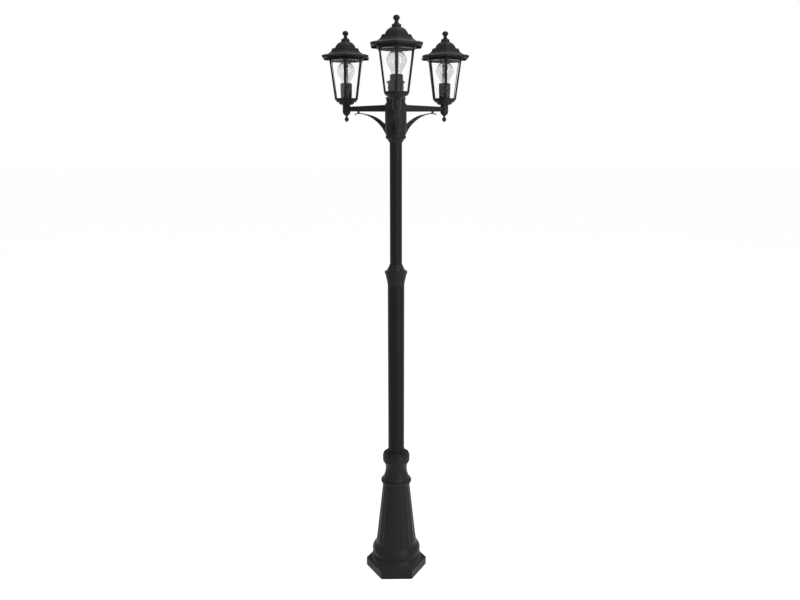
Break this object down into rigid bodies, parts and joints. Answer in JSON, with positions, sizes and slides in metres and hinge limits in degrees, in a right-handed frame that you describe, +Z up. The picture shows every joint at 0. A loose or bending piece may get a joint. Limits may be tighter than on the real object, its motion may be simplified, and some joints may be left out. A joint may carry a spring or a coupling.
{
  "type": "garden lamp post",
  "caption": "Tall adjustable garden lamp post: turned base on a hexagonal plinth, sliding mast and a hub with scrolled arms that carry six-sided glass lanterns.",
  "frame": {"origin": "on the ground, in the centre of the plinth, on the axis of the mast", "axes": "+Z up along the mast; the front arm points along -Y; +X to the right seen from the front"},
  "size_m": [0.5092, 0.4875, 2],
  "materials": {
    "black_casting": "satin",
    "galvanised_steel": "satin",
    "black_screw": "satin",
    "black_rubber": "matte",
    "bush_nylon": "matte",
    "terminal_plastic": "matte",
    "holder_bakelite": "satin",
    "contact_brass": "satin",
    "lamp_cap_metal": "satin",
    "clear_pane": "polished",
    "clear_bulb": "polished"
  },
  "bodies": {
    "post": {"ground_plate": "galvanised_steel", "cable_grommet": "black_rubber", "terminal_block": "terminal_plastic", "earth_screw": "contact_brass", "base_casting": "black_casting", "base_screws": "black_screw", "tube_set_screws": "black_screw", "tube_seal_ring": "black_rubber", "lower_tube": "black_casting", "collar_cup": "black_casting", "collar_cap": "black_casting", "guide_bush": "bush_nylon", "height_lock_screws": "black_screw"},
    "mast_head": {"upper_tube": "black_casting", "slide_bush": "bush_nylon", "hub_collar": "black_casting", "hub_casting": "black_casting", "hub_cap": "black_casting", "hub_screws": "black_screw", "arm_nuts": "galvanised_steel", "fixing_tubes": "galvanised_steel", "arm_1": "black_casting", "arm_2": "black_casting", "arm_3": "black_casting", "scroll_1": "black_casting", "scroll_2": "black_casting", "scroll_3": "black_casting", "lantern_bowl_1": "black_casting", "lantern_bowl_2": "black_casting", "lantern_bowl_3": "black_casting", "drop_finial_1": "black_casting", "drop_finial_2": "black_casting", "drop_finial_3": "black_casting", "lantern_frame_1": "black_casting", "lantern_frame_2": "black_casting", "lantern_frame_3": "black_casting", "glass_panes_1": "clear_pane", "glass_panes_2": "clear_pane", "glass_panes_3": "clear_pane", "lamp_holder_1": "holder_bakelite", "lamp_holder_2": "holder_bakelite", "lamp_holder_3": "holder_bakelite", "holder_contacts_1": "contact_brass", "holder_contacts_2": "contact_brass", "holder_contacts_3": "contact_brass"},
    "roof_lid_1": {"roof_1": "black_casting", "roof_finial_1": "black_casting", "roof_screws_1": "black_screw"},
    "bulb_1": {"bulb_glass_1": "clear_bulb", "bulb_cap_1": "lamp_cap_metal"},
    "roof_lid_2": {"roof_2": "black_casting", "roof_finial_2": "black_casting", "roof_screws_2": "black_screw"},
    "bulb_2": {"bulb_glass_2": "clear_bulb", "bulb_cap_2": "lamp_cap_metal"},
    "roof_lid_3": {"roof_3": "black_casting", "roof_finial_3": "black_casting", "roof_screws_3": "black_screw"},
    "bulb_3": {"bulb_glass_3": "clear_bulb", "bulb_cap_3": "lamp_cap_metal"}
  },
  "joints": [
    {"name": "height_slide", "type": "slide", "parent": "post", "child": "mast_head", "axis": [0, 0, 1], "range_m": [-0.42, 0]},
    {"name": "roof_lift_1", "type": "slide", "parent": "mast_head", "child": "roof_lid_1", "axis": [0, 0, 1], "range_m": [0, 0.2]},
    {"name": "roof_lift_2", "type": "slide", "parent": "mast_head", "child": "roof_lid_2", "axis": [0, 0, 1], "range_m": [0, 0.2]},
    {"name": "roof_lift_3", "type": "slide", "parent": "mast_head", "child": "roof_lid_3", "axis": [0, 0, 1], "range_m": [0, 0.2]},
    {"name": "bulb_turn_1", "type": "hinge", "parent": "mast_head", "child": "bulb_1", "pos_m": [0, -0.201, 1.8], "axis": [0, 0, 1], "range_deg": [0, 990]},
    {"name": "bulb_turn_2", "type": "hinge", "parent": "mast_head", "child": "bulb_2", "pos_m": [0.17407, 0.1005, 1.8], "axis": [0, 0, 1], "range_deg": [0, 990]},
    {"name": "bulb_turn_3", "type": "hinge", "parent": "mast_head", "child": "bulb_3", "pos_m": [-0.17407, 0.1005, 1.8], "axis": [0, 0, 1], "range_deg": [0, 990]}
  ]
}
